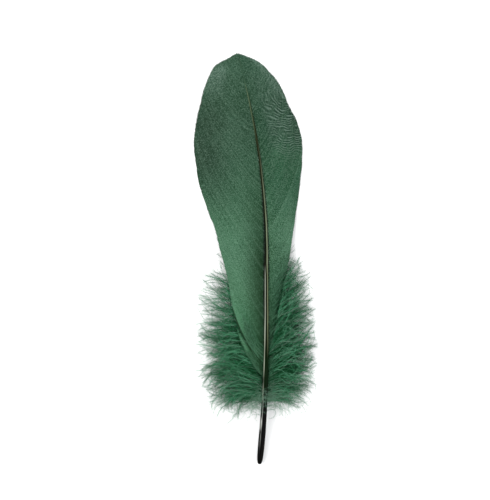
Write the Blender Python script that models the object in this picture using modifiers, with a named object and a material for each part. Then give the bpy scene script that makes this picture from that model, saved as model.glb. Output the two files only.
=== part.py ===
"""A dyed goose feather, 175 mm long, lying on its hollow side.

It is five pieces: the shaft (quill and rachis in one), the closed vane on each
side of the rachis, and the tuft of loose down on each side of the shaft's base.

Metres, +Z up. The tip points to +Y and the quill to -Y. The origin is the
centre of the bounding box at the level of the surface it lies on.
"""

import math

import bmesh
import bpy

MM = 0.001

# ---- driving dimensions, in millimetres ------------------------------------
LENGTH = 175.0
QUILL_END_Y = -LENGTH / 2
TIP_Y = LENGTH / 2

# Plan of the shaft's centre line: nearly straight, swept to -X towards the tip
# and slightly to -X towards the quill.
SHAFT_X = 4.62
TIP_SWEEP = 0.00158  # per mm, above SWEEP_TOP_Y
BASE_SWEEP = 0.0009  # per mm, below SWEEP_BASE_Y
SWEEP_TOP_Y = -0.7
SWEEP_BASE_Y = -30.4

# Side view of the centre line: an arch from the quill's end to the tip.
QUILL_END_Z = 1.5
TIP_Z = 0.6
ARCH = 7.0

# Shaft radius against the distance from the quill's end.
SHAFT_RADII = (
    (0.0, 0.55),
    (0.7, 0.95),
    (1.8, 1.20),
    (4.0, 1.34),
    (11.0, 1.46),
    (21.0, 1.36),
    (27.0, 1.24),
    (38.0, 1.18),
    (50.0, 0.98),
    (66.0, 0.86),
    (87.0, 0.76),
    (99.0, 0.66),
    (110.0, 0.59),
    (121.0, 0.50),
    (150.0, 0.38),
    (160.0, 0.30),
    (173.8, 0.20),
)
SHAFT_START = 0.0
SHAFT_STOP = 173.8
SHAFT_POINTS = 46
SHAFT_BEVEL_RESOLUTION = 3

# Width of each closed vane, from the rachis outwards, against the distance
# from the quill's end. The left vane is the broad one.
LEFT_WIDTHS = (
    (38.4, 1.0),
    (42.6, 5.2),
    (47.6, 8.8),
    (52.0, 10.8),
    (60.2, 13.2),
    (70.1, 15.0),
    (79.6, 16.6),
    (91.0, 19.6),
    (98.6, 21.3),
    (108.0, 24.2),
    (115.7, 26.3),
    (121.6, 27.2),
    (131.0, 27.4),
    (136.7, 26.9),
    (146.1, 24.3),
    (153.8, 20.9),
    (157.8, 19.2),
    (161.6, 17.0),
    (165.4, 14.5),
    (169.6, 10.9),
    (172.6, 4.6),
    (174.6, 1.6),
)
RIGHT_WIDTHS = (
    (50.5, 1.0),
    (57.2, 2.9),
    (69.9, 5.4),
    (78.3, 7.1),
    (83.9, 9.1),
    (91.1, 10.4),
    (99.6, 11.8),
    (106.1, 13.1),
    (117.9, 15.7),
    (129.4, 18.1),
    (138.5, 19.2),
    (146.1, 18.5),
    (153.2, 16.2),
    (158.4, 15.3),
    (163.8, 13.6),
    (167.4, 11.0),
    (169.2, 10.0),
    (171.7, 7.2),
    (173.6, 4.2),
    (174.7, 1.6),
)
VANE_THICKNESS = 0.45
VANE_ROWS = 44
VANE_COLUMNS = 8
VANE_REST_Z = 0.28  # middle of the vane where its edge meets the surface
VANE_DOWN_Z = 5.3  # where the down underneath holds the edge up
CREST = 0.75  # rise of the vane's crest over the groove along the rachis
CREST_AT = 0.24  # its place, as a share of the width

# Reach of each tuft of down from the shaft, against the distance from the
# quill's end. Both are rounded fans whose undersides lie on the surface.
LEFT_REACH = (
    (24.6, 4.0),
    (26.4, 14.0),
    (29.6, 23.5),
    (35.0, 28.6),
    (42.0, 30.9),
    (50.6, 31.5),
    (60.0, 30.6),
    (69.0, 27.4),
    (74.6, 23.0),
    (78.4, 16.0),
    (80.0, 8.0),
)
RIGHT_REACH = (
    (24.6, 3.0),
    (26.6, 10.0),
    (29.6, 15.5),
    (35.0, 19.3),
    (42.2, 21.3),
    (50.6, 22.3),
    (59.2, 22.4),
    (68.0, 21.4),
    (76.0, 19.4),
    (82.0, 16.0),
    (85.4, 11.0),
    (87.0, 5.0),
)
TUFT_ROWS = 22
TUFT_COLUMNS = 10
TUFT_RIM = 0.7  # thickness at the rim
TUFT_TOP = 6.6  # highest point away from the vanes
TUFT_RIM_Z = 2.4  # how far the rim's underside curls up

GAP = 0.35  # between neighbouring pieces


# ---- rules for the curves ----------------------------------------------------
def along(table, s):
    """Value at s of a smooth curve through the table's points, with no overshoot."""
    if s <= table[0][0]:
        return table[0][1]
    if s >= table[-1][0]:
        return table[-1][1]
    i = max(k for k in range(len(table) - 1) if table[k][0] <= s)

    def slope(k):
        return (table[k + 1][1] - table[k][1]) / (table[k + 1][0] - table[k][0])

    def tangent(k):
        if k == 0 or k == len(table) - 1:
            return slope(min(k, len(table) - 2))
        a, b = slope(k - 1), slope(k)
        return 0.0 if a * b <= 0 else 2 * a * b / (a + b)

    step = table[i + 1][0] - table[i][0]
    t = (s - table[i][0]) / step
    return (
        table[i][1] * (1 + 2 * t) * (1 - t) ** 2
        + table[i + 1][1] * t * t * (3 - 2 * t)
        + tangent(i) * step * t * (1 - t) ** 2
        - tangent(i + 1) * step * t * t * (1 - t)
    )


def smooth(t):
    t = min(max(t, 0.0), 1.0)
    return t * t * (3 - 2 * t)


def shaft_x(y):
    up, down = max(y - SWEEP_TOP_Y, 0.0), max(SWEEP_BASE_Y - y, 0.0)
    return SHAFT_X - TIP_SWEEP * up * up - BASE_SWEEP * down * down


def shaft_z(y):
    t = min(max((y - QUILL_END_Y) / LENGTH, 0.0), 1.0)
    return QUILL_END_Z + (TIP_Z - QUILL_END_Z) * t + ARCH * 4 * t * (1 - t)


def shaft_radius(y):
    return along(SHAFT_RADII, y - QUILL_END_Y)


def edge_z(y):
    """Level of a vane's edge: on the surface along the broad half, held up over the down."""
    held = VANE_REST_Z + (VANE_DOWN_Z - VANE_REST_Z) * (1 - smooth((y + 26.0) / 56.0))
    return min(held, shaft_z(y) + 0.2)


def vane_z(y, across):
    """Level of a vane's middle at a share of its width: a groove, a crest, then a droop."""
    root = shaft_z(y) + 0.1
    droop = across**1.6
    crest = CREST * smooth(min(across / CREST_AT, 1.0)) * (1 - across) ** 1.5
    fade = smooth((TIP_Y - y) / 25.0)
    return root + (edge_z(y) - root) * droop + crest * fade


# ---- building ----------------------------------------------------------------
for old in list(bpy.data.objects):
    bpy.data.objects.remove(old, do_unlink=True)

feather = bpy.data.collections.new("goose_feather")
bpy.context.scene.collection.children.link(feather)


def material(name, colour, roughness):
    made = bpy.data.materials.new(name)
    made.use_nodes = True
    shader = made.node_tree.nodes["Principled BSDF"]
    shader.inputs["Base Color"].default_value = (*colour, 1.0)
    shader.inputs["Roughness"].default_value = roughness
    shader.inputs["Metallic"].default_value = 0.0
    return made


shaft_finish = material("shaft_black", (0.010, 0.011, 0.008), 0.28)
left_vane_finish = material("vane_left_green", (0.051, 0.112, 0.070), 0.62)
right_vane_finish = material("vane_right_green", (0.056, 0.122, 0.077), 0.62)
left_down_finish = material("down_left_green", (0.026, 0.090, 0.043), 0.90)
right_down_finish = material("down_right_green", (0.024, 0.084, 0.040), 0.90)


def add(name, data, finish):
    made = bpy.data.objects.new(name, data)
    data.materials.append(finish)
    feather.objects.link(made)
    return made


def build_shaft():
    """A tapered tube of filled section along the arched centre line."""
    curve = bpy.data.curves.new("shaft", "CURVE")
    curve.dimensions = "3D"
    curve.bevel_depth = MM
    curve.bevel_resolution = SHAFT_BEVEL_RESOLUTION
    curve.use_fill_caps = True
    curve.twist_mode = "Z_UP"
    spline = curve.splines.new("POLY")
    spline.points.add(SHAFT_POINTS - 1)
    for i, point in enumerate(spline.points):
        t = i / (SHAFT_POINTS - 1)
        # Closer together near the rounded end of the quill.
        s = SHAFT_START + (SHAFT_STOP - SHAFT_START) * (0.35 * t * t + 0.65 * t)
        if i < 5:
            s = (0.0, 0.35, 0.9, 1.8, 3.2)[i]
        y = QUILL_END_Y + s
        point.co = (shaft_x(y) * MM, y * MM, shaft_z(y) * MM, 1.0)
        point.radius = along(SHAFT_RADII, s)
    return add("shaft", curve, shaft_finish)


def build_vane(name, side, widths, finish):
    """A cambered sheet from the rachis to the outline, thickened by Solidify."""
    sheet = bmesh.new()
    bmesh.ops.create_grid(
        sheet, x_segments=VANE_COLUMNS, y_segments=VANE_ROWS, size=0.5
    )
    first, last = widths[0][0], widths[-1][0]
    for vert in sheet.verts:
        across, up = vert.co.x + 0.5, vert.co.y + 0.5
        # Rows crowd together at the tip, where the outline turns over.
        s = first + (last - first) * math.sin(up * math.pi / 2) ** 0.9
        y = QUILL_END_Y + s
        start = shaft_radius(y) + GAP
        reach = max(along(widths, s), start + 0.6)
        x = shaft_x(y) + side * (start + (reach - start) * across)
        vert.co = (x * MM, y * MM, vane_z(y, across) * MM)
    bmesh.ops.recalc_face_normals(sheet, faces=sheet.faces)
    mesh = bpy.data.meshes.new(name)
    sheet.to_mesh(mesh)
    sheet.free()
    made = add(name, mesh, finish)
    shell = made.modifiers.new("thickness", "SOLIDIFY")
    shell.thickness = VANE_THICKNESS * MM
    shell.offset = 0.0
    shell.use_rim = True
    mesh.shade_smooth()
    return made


def tuft_ceiling(side, widths, x, y):
    """Highest the down may stand at a point, so that it clears the vane above it."""
    free = TUFT_TOP
    s = y - QUILL_END_Y
    if s < widths[0][0] - 2.0:
        return free
    width = along(widths, s)
    out = side * (x - shaft_x(y))
    share = min(max(out / max(width, 1.0), 0.0), 1.0)
    under = vane_z(max(y, QUILL_END_Y + widths[0][0]), share) - VANE_THICKNESS / 2
    under -= GAP + 0.45
    clear = smooth((out - width - 3.0) / 4.0)
    return under + (free - under) * clear if free > under else free


def build_tuft(name, side, reaches, widths, finish):
    """A flat-bottomed cushion: one grid for the underside, raised to the dome."""
    cushion = bmesh.new()
    bmesh.ops.create_grid(
        cushion, x_segments=TUFT_COLUMNS, y_segments=TUFT_ROWS, size=0.5
    )
    first, last = reaches[0][0], reaches[-1][0]
    plan = {}
    for vert in cushion.verts:
        across, up = vert.co.x + 0.5, vert.co.y + 0.5
        s = first + (last - first) * (0.5 - 0.5 * math.cos(up * math.pi))
        y = QUILL_END_Y + s
        start = shaft_radius(y) + GAP
        reach = max(along(reaches, s), start + 1.5)
        share = 0.55 * across + 0.45 * math.sin(across * math.pi / 2)
        x = shaft_x(y) + side * (start + (reach - start) * share)
        full = (1 - share**5) * (1 - abs(2 * (s - first) / (last - first) - 1) ** 6)
        plan[vert] = (x, y, full)
    bottoms = list(cushion.verts)
    raised = bmesh.ops.extrude_face_region(cushion, geom=list(cushion.faces))
    tops = [g for g in raised["geom"] if isinstance(g, bmesh.types.BMVert)]
    # The raised copy still lies on its source, so each top finds its bottom by place.
    by_place = {tuple(round(c, 5) for c in v.co): v for v in bottoms}
    pairs = [(by_place[tuple(round(c, 5) for c in v.co)], v) for v in tops]
    for bottom, top in pairs:
        x, y, full = plan[bottom]
        low = TUFT_RIM_Z * max(0.0, (0.5 - full) / 0.5) ** 2
        high = min(
            low + TUFT_RIM + (TUFT_TOP - TUFT_RIM) * full**0.55,
            tuft_ceiling(side, widths, x, y),
        )
        bottom.co = (x * MM, y * MM, low * MM)
        top.co = (x * MM, y * MM, max(high, low + 0.5 * TUFT_RIM) * MM)
    bmesh.ops.recalc_face_normals(cushion, faces=cushion.faces)
    mesh = bpy.data.meshes.new(name)
    cushion.to_mesh(mesh)
    cushion.free()
    mesh.shade_smooth()
    return add(name, mesh, finish)


build_shaft()
build_vane("vane_left", -1, LEFT_WIDTHS, left_vane_finish)
build_vane("vane_right", 1, RIGHT_WIDTHS, right_vane_finish)
build_tuft("down_left", -1, LEFT_REACH, LEFT_WIDTHS, left_down_finish)
build_tuft("down_right", 1, RIGHT_REACH, RIGHT_WIDTHS, right_down_finish)
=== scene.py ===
import math

import bpy
import numpy as np
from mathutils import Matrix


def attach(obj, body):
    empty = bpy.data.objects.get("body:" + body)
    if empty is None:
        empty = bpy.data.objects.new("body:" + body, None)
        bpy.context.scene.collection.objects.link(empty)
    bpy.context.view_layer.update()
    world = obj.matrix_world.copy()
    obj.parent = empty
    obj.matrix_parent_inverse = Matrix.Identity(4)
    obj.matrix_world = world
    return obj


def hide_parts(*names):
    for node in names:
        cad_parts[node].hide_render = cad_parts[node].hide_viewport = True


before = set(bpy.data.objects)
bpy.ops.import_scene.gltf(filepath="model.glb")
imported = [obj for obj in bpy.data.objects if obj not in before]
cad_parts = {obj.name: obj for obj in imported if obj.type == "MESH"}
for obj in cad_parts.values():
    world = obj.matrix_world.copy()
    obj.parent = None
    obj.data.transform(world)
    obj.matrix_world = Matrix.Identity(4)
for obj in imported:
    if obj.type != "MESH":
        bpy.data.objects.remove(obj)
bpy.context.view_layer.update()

MM = 0.001
PX = 0.42404  # millimetres that one pixel of the photograph covers
SEED = 20

# ---- the feather's own measures, as in part.py, in millimetres ---------------
LENGTH = 175.0
QUILL_END_Y = -LENGTH / 2
TIP_Y = LENGTH / 2
SHAFT_X, TIP_SWEEP, BASE_SWEEP = 4.62, 0.00158, 0.0009
SWEEP_TOP_Y, SWEEP_BASE_Y = -0.7, -30.4
QUILL_END_Z, TIP_Z, ARCH = 1.5, 0.6, 7.0
SHAFT_RADII = (
    (0.0, 0.55),
    (0.7, 0.95),
    (1.8, 1.20),
    (4.0, 1.34),
    (11.0, 1.46),
    (21.0, 1.36),
    (27.0, 1.24),
    (38.0, 1.18),
    (50.0, 0.98),
    (66.0, 0.86),
    (87.0, 0.76),
    (99.0, 0.66),
    (110.0, 0.59),
    (121.0, 0.50),
    (150.0, 0.38),
    (160.0, 0.30),
    (173.8, 0.20),
)
LEFT_WIDTHS = (
    (35.0, 0.0),
    (36.5, 0.9),
    (38.4, 2.3),
    (40.2, 3.8),
    (42.6, 5.4),
    (47.6, 8.8),
    (52.0, 10.8),
    (60.2, 13.2),
    (70.1, 15.0),
    (79.6, 16.6),
    (91.0, 19.6),
    (98.6, 21.3),
    (108.0, 24.2),
    (115.7, 26.3),
    (121.6, 27.2),
    (131.0, 27.4),
    (136.7, 26.9),
    (146.1, 24.3),
    (153.8, 20.9),
    (157.8, 19.2),
    (161.6, 17.0),
    (165.4, 14.5),
    (169.6, 10.9),
    (172.6, 4.6),
    (175.0, 0.0),
)
RIGHT_WIDTHS = (
    (49.0, 0.0),
    (50.5, 1.0),
    (57.2, 2.9),
    (69.9, 5.4),
    (78.3, 7.1),
    (83.9, 9.1),
    (91.1, 10.4),
    (99.6, 11.8),
    (106.1, 13.1),
    (117.9, 15.7),
    (129.4, 18.1),
    (138.5, 19.2),
    (146.1, 18.5),
    (153.2, 16.2),
    (158.4, 15.3),
    (163.8, 13.6),
    (167.4, 11.0),
    (169.2, 10.0),
    (171.7, 7.2),
    (175.0, 0.0),
)
VANE_REST_Z, VANE_DOWN_Z = 0.28, 5.3
CREST, CREST_AT = 0.75, 0.24


def table_curve(table):
    """A smooth curve through the table's points, with no overshoot, for arrays."""
    xs, ys = np.array(table, float).T
    step = np.diff(xs)
    rise = np.diff(ys) / step
    slope = np.zeros_like(xs)
    product, total = rise[:-1] * rise[1:], rise[:-1] + rise[1:]
    same = product > 0
    slope[1:-1][same] = 2 * product[same] / total[same]
    slope[0], slope[-1] = rise[0], rise[-1]

    def value(x):
        x = np.clip(x, xs[0], xs[-1])
        i = np.clip(np.searchsorted(xs, x, side="right") - 1, 0, len(xs) - 2)
        t, h = (x - xs[i]) / step[i], step[i]
        return (
            ys[i] * (1 + 2 * t) * (1 - t) ** 2
            + ys[i + 1] * t * t * (3 - 2 * t)
            + slope[i] * h * t * (1 - t) ** 2
            - slope[i + 1] * h * t * t * (1 - t)
        )

    return value


def smooth(t):
    t = np.clip(t, 0.0, 1.0)
    return t * t * (3 - 2 * t)


shaft_radius_at = table_curve(SHAFT_RADII)
WIDTH = {-1: table_curve(LEFT_WIDTHS), 1: table_curve(RIGHT_WIDTHS)}


def shaft_x(y):
    up, down = np.maximum(y - SWEEP_TOP_Y, 0), np.maximum(SWEEP_BASE_Y - y, 0)
    return SHAFT_X - TIP_SWEEP * up * up - BASE_SWEEP * down * down


def shaft_tilt(y):
    """Plan direction of the shaft, as an angle from +Y towards +X."""
    up, down = np.maximum(y - SWEEP_TOP_Y, 0), np.maximum(SWEEP_BASE_Y - y, 0)
    return np.arctan(-2 * TIP_SWEEP * up + 2 * BASE_SWEEP * down)


def shaft_z(y):
    t = np.clip((y - QUILL_END_Y) / LENGTH, 0, 1)
    return QUILL_END_Z + (TIP_Z - QUILL_END_Z) * t + ARCH * 4 * t * (1 - t)


def shaft_radius(y):
    return shaft_radius_at(y - QUILL_END_Y)


def edge_z(y):
    held = VANE_REST_Z + (VANE_DOWN_Z - VANE_REST_Z) * (1 - smooth((y + 26.0) / 56.0))
    return np.minimum(held, shaft_z(y) + 0.2)


def vane_z(y, across):
    root = shaft_z(y) + 0.1
    across = np.clip(across, 0, 1.15)
    droop = across**1.6
    crest = CREST * smooth(across / CREST_AT) * np.clip(1 - across, 0, 1) ** 1.5
    return root + (edge_z(y) - root) * droop + crest * smooth((TIP_Y - y) / 25.0)


# ---- meshes from arrays ------------------------------------------------------
def unit(v):
    return v / np.maximum(np.linalg.norm(v, axis=-1, keepdims=True), 1e-12)


class Parts:
    """Collects closed shapes as arrays, and makes one mesh of them."""

    def __init__(self):
        self.points, self.faces, self.place, self.strand, self.uv = [], [], [], [], []
        self.origin = []
        self.count = 0

    def add(self, points, faces, place, strand, uv, origin=None):
        """points (p, 3) in mm; faces a list of (f, corners) arrays; place and strand (p, 3); uv (p, 2), or per face group a list of (f, corners, 2)."""
        for k, group in enumerate(faces):
            self.faces.append(group + self.count)
            self.uv.append(uv[k] if isinstance(uv, list) else uv[group])
        self.points.append(points)
        self.place.append(place)
        self.strand.append(strand)
        if origin is not None:
            self.origin.append(origin)
        self.count += len(points)

    def triangles(self):
        return sum(len(f) * (f.shape[1] - 2) for f in self.faces)

    def mesh(self, name):
        me = bpy.data.meshes.new(name)
        co = np.concatenate(self.points).astype(np.float32) * MM
        me.vertices.add(len(co))
        me.vertices.foreach_set("co", co.ravel())
        corners = np.concatenate([f.ravel() for f in self.faces]).astype(np.int32)
        sizes = np.concatenate([np.full(len(f), f.shape[1]) for f in self.faces])
        me.loops.add(len(corners))
        me.loops.foreach_set("vertex_index", corners)
        me.polygons.add(len(sizes))
        starts = np.concatenate([[0], np.cumsum(sizes)[:-1]]).astype(np.int32)
        me.polygons.foreach_set("loop_start", starts)
        me.update(calc_edges=True)
        for label, rows in (("place", self.place), ("strand", self.strand), ("origin", self.origin)):
            if not rows:
                continue
            layer = me.attributes.new(label, "FLOAT_VECTOR", "POINT")
            layer.data.foreach_set(
                "vector", np.concatenate(rows).astype(np.float32).ravel()
            )
        uv = me.uv_layers.new(name="OFBake", do_init=False)
        flat = np.concatenate([u.reshape(-1, 2) for u in self.uv]).astype(np.float32)
        uv.uv.foreach_set("vector", flat.ravel())
        return me


def frames(paths, up):
    """Tangent, lateral (to the right, seen from above) and normal along paths (n, k, 3)."""
    tangent = unit(np.gradient(paths, axis=1))
    lateral = unit(np.cross(tangent, up))
    return tangent, lateral, np.cross(lateral, tangent)


def sweep(paths, lateral, normal, section_a, section_b):
    """Closed prisms along paths. section_a and _b (n, k, s): offsets along lateral and normal, in order left, top, right, bottom."""
    n, k, s = section_a.shape
    points = (
        paths[:, :, None, :]
        + lateral[:, :, None, :] * section_a[..., None]
        + normal[:, :, None, :] * section_b[..., None]
    ).reshape(-1, 3)
    first = (np.arange(n) * k * s)[:, None, None]
    row, col = np.arange(k - 1)[None, :, None], np.arange(s)[None, None, :]
    a = first + row * s + col
    b = first + row * s + (col + 1) % s
    quads = np.stack([a, b, b + s, a + s], -1).reshape(-1, 4)
    ring = np.arange(s)[None, :]
    start = (np.arange(n) * k * s)[:, None] + ring[:, ::-1]
    end = (np.arange(n) * k * s + (k - 1) * s)[:, None] + ring
    return points, quads, np.concatenate([start, end])


def piece(name, parts, material, node, sharp=None, flat=False):
    me = parts.mesh(name)
    me.materials.append(material)
    if flat:
        me.shade_flat()
    else:
        me.shade_smooth()
        if sharp:
            me.set_sharp_from_angle(angle=math.radians(sharp))
    ob = bpy.data.objects.new(name, me)
    bpy.context.scene.collection.objects.link(ob)
    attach(ob, "root")
    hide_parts(node)
    print(f"{name}: {parts.triangles()} triangles")
    return ob


# ---- materials -----------------------------------------------------------------
LIT = 1.45  # light that a white surface sends back in the studio
HAZE = 0.0115  # part of it that comes off the outer gloss, whatever the colour
DOWN_HAZE, SHAFT_HAZE = 0.016, 0.006


def srgb(r, g, b, haze=HAZE):
    """Surface colour that shows as this sRGB one, given in 0 to 255, in the studio light."""
    out = []
    for c in (r, g, b):
        c /= 255
        c = c / 12.92 if c <= 0.04045 else ((c + 0.055) / 1.055) ** 2.4
        out.append(max((c - haze) / LIT, 0.0012))
    return (*out, 1.0)


class Nodes:
    """Short ways to write a node tree."""

    def __init__(self, name):
        self.material = bpy.data.materials.new(name)
        self.material.use_nodes = True
        self.tree = self.material.node_tree
        self.shader = self.tree.nodes["Principled BSDF"]

    def set(self, socket, value):
        self.shader.inputs[socket].default_value = value

    def link(self, a, b):
        self.tree.links.new(a, b)

    def drive(self, socket, source):
        self.link(source, self.shader.inputs[socket])

    def _feed(self, socket, value):
        if isinstance(value, bpy.types.NodeSocket):
            self.link(value, socket)
        elif value is not None:
            socket.default_value = value

    def attribute(self, name):
        node = self.tree.nodes.new("ShaderNodeAttribute")
        node.attribute_name = name
        return node.outputs["Vector"]

    def split(self, vector):
        node = self.tree.nodes.new("ShaderNodeSeparateXYZ")
        self.link(vector, node.inputs[0])
        return node.outputs

    def join(self, x, y, z=0.0):
        node = self.tree.nodes.new("ShaderNodeCombineXYZ")
        for socket, value in zip(node.inputs, (x, y, z)):
            self._feed(socket, value)
        return node.outputs[0]

    def position(self):
        return self.tree.nodes.new("ShaderNodeTexCoord").outputs["Object"]

    def math(self, op, a, b=None, c=None, clamp=False):
        node = self.tree.nodes.new("ShaderNodeMath")
        node.operation, node.use_clamp = op, clamp
        for socket, value in zip(node.inputs, (a, b, c)):
            self._feed(socket, value)
        return node.outputs[0]

    def ramp(self, value, stops, smooth_steps=False):
        """A greyscale or colour ramp over stops of (place, value or colour)."""
        node = self.tree.nodes.new("ShaderNodeValToRGB")
        band = node.color_ramp
        band.interpolation = "EASE" if smooth_steps else "LINEAR"
        while len(band.elements) < len(stops):
            band.elements.new(0.5)
        for element, (place, colour) in zip(band.elements, stops):
            element.position = place
        for element, (place, colour) in zip(band.elements, stops):
            element.color = (
                colour if isinstance(colour, tuple) else (colour,) * 3 + (1.0,)
            )
        self.link(value, node.inputs[0])
        return node.outputs[0]

    def range(self, value, low, high, to_low=0.0, to_high=1.0, kind="SMOOTHSTEP"):
        node = self.tree.nodes.new("ShaderNodeMapRange")
        node.interpolation_type = kind
        for socket, v in zip(node.inputs, (value, low, high, to_low, to_high)):
            self._feed(socket, v)
        return node.outputs[0]

    def noise(self, vector, scale, detail=2.0, rough=0.5, distortion=0.0):
        node = self.tree.nodes.new("ShaderNodeTexNoise")
        self.link(vector, node.inputs["Vector"])
        node.inputs["Scale"].default_value = scale
        node.inputs["Detail"].default_value = detail
        node.inputs["Roughness"].default_value = rough
        node.inputs["Distortion"].default_value = distortion
        return node.outputs["Fac"]

    def mix(self, factor, a, b, blend="MIX"):
        node = self.tree.nodes.new("ShaderNodeMix")
        node.data_type, node.blend_type = "RGBA", blend
        self._feed(node.inputs[0], factor)
        self._feed(node.inputs[6], a)
        self._feed(node.inputs[7], b)
        return node.outputs[2]

    def stretch(self, vector, x, y, z):
        node = self.tree.nodes.new("ShaderNodeVectorMath")
        node.operation = "MULTIPLY"
        self.link(vector, node.inputs[0])
        node.inputs[1].default_value = (x, y, z)
        return node.outputs[0]

    def bump(self, height, strength, distance):
        node = self.tree.nodes.new("ShaderNodeBump")
        node.inputs["Strength"].default_value = strength
        node.inputs["Distance"].default_value = distance
        self.link(height, node.inputs["Height"])
        return node.outputs[0]


def vane_material(name, side):
    """Dyed barbs: grey-green at the tip to a clearer green at the base, with painted shade in the hollow along the
    shaft, finely speckled, with each barb a little different.
    """
    m = Nodes(name)
    place = m.split(m.attribute("place"))  # across, station 0..1, bare mm from shaft
    strand = m.split(m.attribute("strand"))  # random, along, lateral
    across, station, off = place[0], place[1], place[2]
    rnd, along, lateral = strand[0], strand[1], strand[2]
    position = m.position()

    if side < 0:
        body = m.ramp(
            station,
            [
                (0.20, srgb(46, 92, 62)),
                (0.28, srgb(60, 112, 77)),
                (0.35, srgb(74, 124, 91)),
                (0.42, srgb(84, 128, 98)),
                (0.50, srgb(82, 123, 96)),
                (0.55, srgb(78, 119, 92)),
                (0.60, srgb(70, 109, 83)),
                (0.67, srgb(62, 99, 75)),
                (0.74, srgb(62, 96, 75)),
                (0.81, srgb(58, 86, 68)),
                (0.88, srgb(55, 84, 65)),
                (0.98, srgb(61, 92, 73)),
            ],
        )
        dim_here = m.math(
            "MULTIPLY",
            m.range(across, 0.25, 0.85),
            m.ramp(station, [(0.60, 0.0), (0.68, 0.6), (0.74, 1.0), (0.82, 1.0), (0.90, 0.2)]),
        )
        body = m.mix(m.math("MULTIPLY", dim_here, 0.9), body, srgb(42, 62, 48))
        hollow_shade_depth = m.ramp(
            station,
            [(0.22, 0.9), (0.50, 1.0), (0.57, 0.78), (0.60, 0.68), (0.665, 0.38), (0.74, 0.18), (0.85, 0.08)],
        )
        stops = [(0, 1.0), (2.1, 0.88), (3.8, 0.74), (5.5, 0.58), (7.2, 0.38), (8.9, 0.20), (10.6, 0.09), (12.5, 0.0)]
    else:
        body = m.ramp(
            station,
            [
                (0.26, srgb(46, 86, 60)),
                (0.35, srgb(49, 88, 62)),
                (0.40, srgb(50, 90, 64)),
                (0.45, srgb(66, 108, 81)),
                (0.50, srgb(74, 114, 86)),
                (0.545, srgb(81, 124, 95)),
                (0.595, srgb(78, 121, 92)),
                (0.63, srgb(74, 117, 90)),
                (0.66, srgb(67, 110, 83)),
                (0.69, srgb(60, 104, 77)),
                (0.75, srgb(60, 102, 75)),
                (0.81, srgb(63, 91, 74)),
                (0.88, srgb(63, 90, 73)),
                (0.98, srgb(60, 92, 73)),
            ],
        )
        origin = m.split(m.attribute("origin"))[0]  # station of the barb's own root
        pale_here = m.ramp(station, [(0.50, 0.0), (0.54, 0.9), (0.59, 0.8), (0.635, 0.15), (0.66, 0.0)])
        pale_here = m.math("MULTIPLY", pale_here, m.range(across, 0.45, 0.85))
        body = m.mix(m.math("MULTIPLY", pale_here, 0.6), body, srgb(98, 143, 113))
        # painted shade on the barbs that root just above the soft fold
        above = m.ramp(origin, [(0.564, 0.0), (0.573, 1.0), (0.600, 0.75), (0.640, 0.25), (0.670, 0.0)])
        above = m.math("MULTIPLY", above, m.range(off, 0.6, 3.0))
        body = m.mix(m.math("MULTIPLY", above, 0.70), body, srgb(40, 80, 54))
        margin = m.ramp(station, [(0.585, 0.0), (0.61, 0.7), (0.66, 0.8), (0.70, 0.0)])
        margin = m.math("MULTIPLY", margin, m.range(across, 0.72, 0.97))
        body = m.mix(m.math("MULTIPLY", margin, 0.7), body, srgb(42, 84, 60))
        # painted shade in the trough beside the shaft, high on the right vane
        trough_shade = m.ramp(station, [(0.64, 0.0), (0.72, 0.6), (0.82, 1.0), (0.90, 0.5), (0.95, 0.0)])
        trough_shade = m.math("MULTIPLY", trough_shade, m.range(across, 0.46, 0.16))
        body = m.mix(m.math("MULTIPLY", trough_shade, 0.8), body, srgb(40, 74, 54))
        hollow_shade_depth = m.ramp(station, [(0.25, 0.6), (0.50, 0.5), (0.60, 0.45), (0.80, 0.2)])
        stops = [(0, 1.0), (1.2, 0.75), (2.4, 0.4), (3.8, 0.15), (5.5, 0.0), (12.5, 0.0)]
    # painted shade in the hollow beside the shaft, widest and deepest towards the base
    near = m.ramp(m.math("MULTIPLY", off, 1 / 12.5), [(a / 12.5, b) for a, b in stops])
    body = m.mix(m.math("MULTIPLY", near, hollow_shade_depth), body, srgb(2, 50, 16) if side < 0 else srgb(4, 58, 18))
    # painted shadow, nearly black, where the vane meets the shaft
    edge = m.math(
        "MULTIPLY", m.range(off, 0.80, 0.30), m.ramp(station, [(0.5, 1.0), (0.75, 0.40), (0.84, 0.2), (0.92, 0.0)])
    )
    body = m.mix(edge, body, srgb(8, 22, 9))
    if side < 0:
        # painted shade beside the shaft, low on the left vane
        foot_shade = m.math("MULTIPLY", m.range(off, 3.0, 0.9), m.ramp(station, [(0.27, 0.8), (0.33, 0.5), (0.40, 0.0)]))
        body = m.mix(foot_shade, body, srgb(24, 54, 34))
    # pale worn margin round the tip
    if side < 0:
        rim = m.ramp(
            station,
            [(0.880, 0.0), (0.893, 0.12), (0.913, 0.36), (0.932, 0.48), (0.947, 0.78), (0.961, 0.75), (0.970, 0.25), (0.976, 0.0)],
        )
        rim = m.math("MULTIPLY", rim, m.range(across, 0.35, 0.72))
    else:
        rim = m.ramp(
            station,
            [(0.885, 0.0), (0.893, 0.15), (0.913, 0.50), (0.932, 0.60), (0.947, 0.45), (0.961, 0.50), (0.976, 0.85), (1.0, 0.7)],
        )
        rim = m.math("MULTIPLY", rim, m.range(across, 0.60, 0.84))
        shade = m.ramp(station, [(0.76, 0.0), (0.79, 0.5), (0.86, 0.5), (0.885, 0.0)])
        shade = m.math("MULTIPLY", shade, m.range(across, 0.80, 0.92))
        body = m.mix(shade, body, srgb(46, 66, 54))
    body = m.mix(m.math("MULTIPLY", rim, 0.72), body, srgb(106, 134, 118))

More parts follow.
